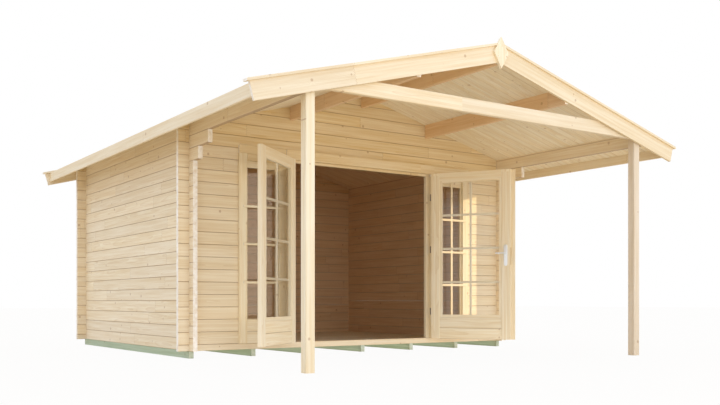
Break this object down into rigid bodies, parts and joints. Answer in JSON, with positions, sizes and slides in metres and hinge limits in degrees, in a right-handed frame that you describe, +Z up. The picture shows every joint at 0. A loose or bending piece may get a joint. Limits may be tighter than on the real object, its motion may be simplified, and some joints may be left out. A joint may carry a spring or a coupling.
{
  "type": "holiday cabin",
  "caption": "Log-built holiday cabin with interlocking corners, a low gable roof run out over a front canopy on posts, and glazed doors between tall fixed windows.",
  "frame": {"origin": "on the ground, under the centre of the roof's outline", "axes": "+X to the right seen from the front, +Y from the canopy to the back wall, +Z up"},
  "size_m": [4.9462, 5.605, 2.856],
  "materials": {
    "spruce": "planed, untreated",
    "treated_pine": "pressure treated, green",
    "glass": "clear float",
    "steel": "satin"
  },
  "bodies": {
    "root": {"floor_deck": "spruce", "left_wall_logs": "spruce", "right_wall_logs": "spruce", "left_corbel_logs": "spruce", "right_corbel_logs": "spruce", "left_wall_plate": "spruce", "right_wall_plate": "spruce", "front_left_logs": "spruce", "front_right_logs": "spruce", "front_sill_log": "spruce", "front_header_log": "spruce", "front_gable_logs": "spruce", "back_wall_logs": "spruce", "back_gable_logs": "spruce", "door_jambs": "spruce", "door_head": "spruce", "window_stiles": "spruce", "window_rails": "spruce", "side_casings": "spruce", "head_casings": "spruce", "window_panels": "spruce", "roof_left": "spruce", "roof_right": "spruce", "ridge_purlin": "spruce", "mid_purlins": "spruce", "front_barge_boards": "spruce", "back_barge_boards": "spruce", "roof_edge_strips": "spruce", "gable_finials": "spruce", "eave_fascias": "spruce", "tie_beam": "spruce", "left_post": "spruce", "right_post": "spruce", "floor_bearers": "treated_pine", "window_glass": "glass", "hinge_posts": "steel"},
    "left_door": {"left_leaf_stiles": "spruce", "left_leaf_rails": "spruce", "left_leaf_boards": "spruce", "left_leaf_glass": "glass", "left_hinge_flaps": "steel"},
    "right_door": {"right_leaf_stiles": "spruce", "right_leaf_rails": "spruce", "right_leaf_boards": "spruce", "right_leaf_glass": "glass", "right_hinge_flaps": "steel", "meeting_strip": "spruce", "handle_plates": "steel"},
    "lever": {"lever_handle": "steel"}
  },
  "joints": [
    {"name": "left_door_hinge", "type": "hinge", "parent": "root", "child": "left_door", "pos_m": [-0.9175, -0.719, 1.06], "axis": [0, 0, -1], "range_deg": [-140, 30]},
    {"name": "right_door_hinge", "type": "hinge", "parent": "root", "child": "right_door", "pos_m": [0.9175, -0.719, 1.06], "axis": [0, 0, 1], "range_deg": [-121, 49]},
    {"name": "lever_turn", "type": "hinge", "parent": "right_door", "child": "lever", "pos_m": [1.33815, -1.47247, 1.069], "axis": [-0.8572, -0.515, 0], "range_deg": [0, 40], "stiffness_Nm_per_rad": 1.2, "springref_deg": -28.65}
  ]
}
